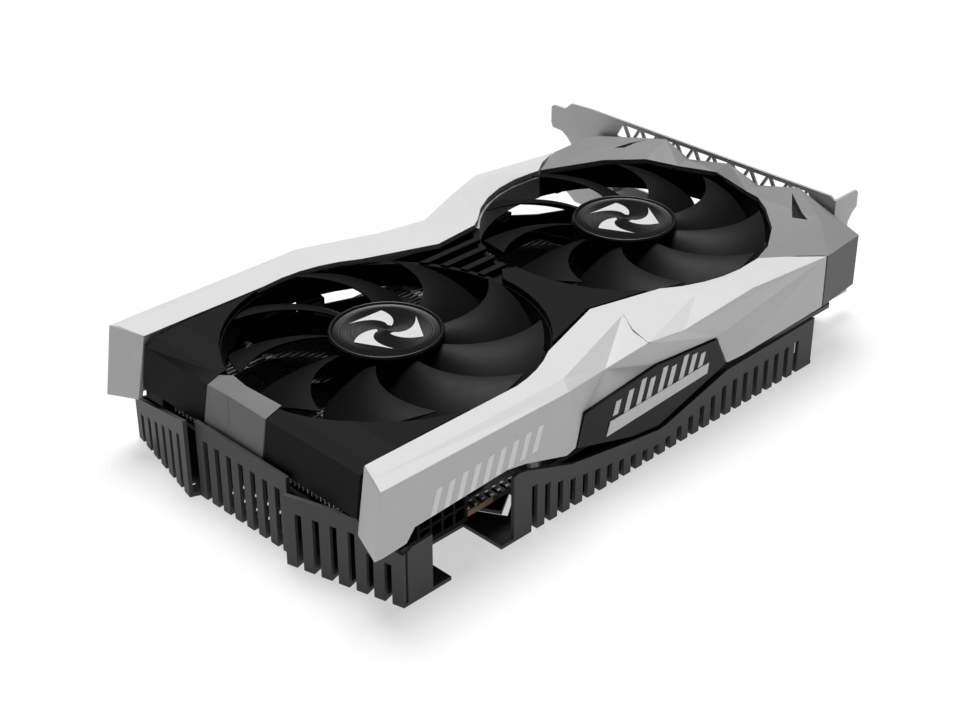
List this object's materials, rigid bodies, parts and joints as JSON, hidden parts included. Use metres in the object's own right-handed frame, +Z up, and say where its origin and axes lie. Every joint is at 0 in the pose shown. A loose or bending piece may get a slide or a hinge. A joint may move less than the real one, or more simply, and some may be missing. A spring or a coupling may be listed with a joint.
{
  "type": "graphics card",
  "caption": "Dual-slot graphics card lying on its slotted backplate, with faceted silver side trims, a grey bracket-end cover and axial fans that spin freely in ringed openings.",
  "frame": {"origin": "underside of the backplate, which the card rests on, midway between the two fan axes", "axes": "+X towards the I/O bracket along the card's length, +Y towards the edge connector, +Z up through the fans, away from the backplate"},
  "size_m": [0.2209, 0.1361, 0.0439],
  "materials": {
    "silver_plastic": "satin silver paint",
    "grey_plastic": "satin grey paint",
    "black_plastic": "fine matte texture",
    "blade_plastic": "satin black",
    "hub_gloss": "polished, turned marks on the hub caps",
    "light_diffuser": "milky, unlit",
    "dark_sheet": "dark grey satin coat",
    "bracket_steel": "satin plated steel",
    "fin_aluminium": "bare rolled sheet",
    "copper": "bare copper",
    "brass": "machined",
    "gold": "hard gold plating",
    "board": "black solder mask over glass fibre",
    "chip": "moulded epoxy",
    "die": "polished silicon",
    "ferrite": "pressed ferrite",
    "can": "bare drawn can"
  },
  "bodies": {
    "card": {"backplate": "dark_sheet", "io_bracket": "bracket_steel", "display_port_1": "bracket_steel", "display_port_2": "bracket_steel", "hdmi_port": "bracket_steel", "display_port_3": "bracket_steel", "bracket_screw_1": "bracket_steel", "bracket_screw_2": "bracket_steel", "pcb": "board", "contacts_power_top": "gold", "contacts_power_bottom": "gold", "contacts_data_top": "gold", "contacts_data_bottom": "gold", "standoff_1": "brass", "standoff_2": "brass", "standoff_3": "brass", "standoff_4": "brass", "retention_bracket": "bracket_steel", "gpu_package": "board", "gpu_die": "die", "memory_1": "chip", "memory_2": "chip", "memory_3": "chip", "memory_4": "chip", "memory_5": "chip", "memory_6": "chip", "choke_1": "ferrite", "choke_2": "ferrite", "choke_3": "ferrite", "choke_4": "ferrite", "choke_5": "ferrite", "capacitor_1": "can", "capacitor_2": "can", "capacitor_3": "can", "power_connector": "black_plastic", "cold_plate": "copper", "heat_pipe_1": "copper", "heat_pipe_2": "copper", "heat_pipe_3": "copper", "fin_stack_main": "fin_aluminium", "fin_stack_tail": "fin_aluminium", "fan_frame_left": "black_plastic", "fan_frame_right": "black_plastic", "fan_motor_left": "copper", "fan_motor_right": "copper", "front_trim": "silver_plastic", "rear_trim": "silver_plastic", "end_cover": "grey_plastic", "shroud_body": "black_plastic", "tail_inset": "grey_plastic", "side_plate": "hub_gloss", "light_bar": "light_diffuser"},
    "left_fan": {"fan_rotor_left": "blade_plastic", "hub_cap_left": "hub_gloss", "fan_shaft_left": "bracket_steel"},
    "right_fan": {"fan_rotor_right": "blade_plastic", "hub_cap_right": "hub_gloss", "fan_shaft_right": "bracket_steel"}
  },
  "joints": [
    {"name": "left_fan_spin", "type": "hinge", "parent": "card", "child": "left_fan", "pos_m": [-0.0505, 0, 0.033], "axis": [0, 0, 1], "continuous": true},
    {"name": "right_fan_spin", "type": "hinge", "parent": "card", "child": "right_fan", "pos_m": [0.0505, 0, 0.033], "axis": [0, 0, 1], "continuous": true}
  ]
}
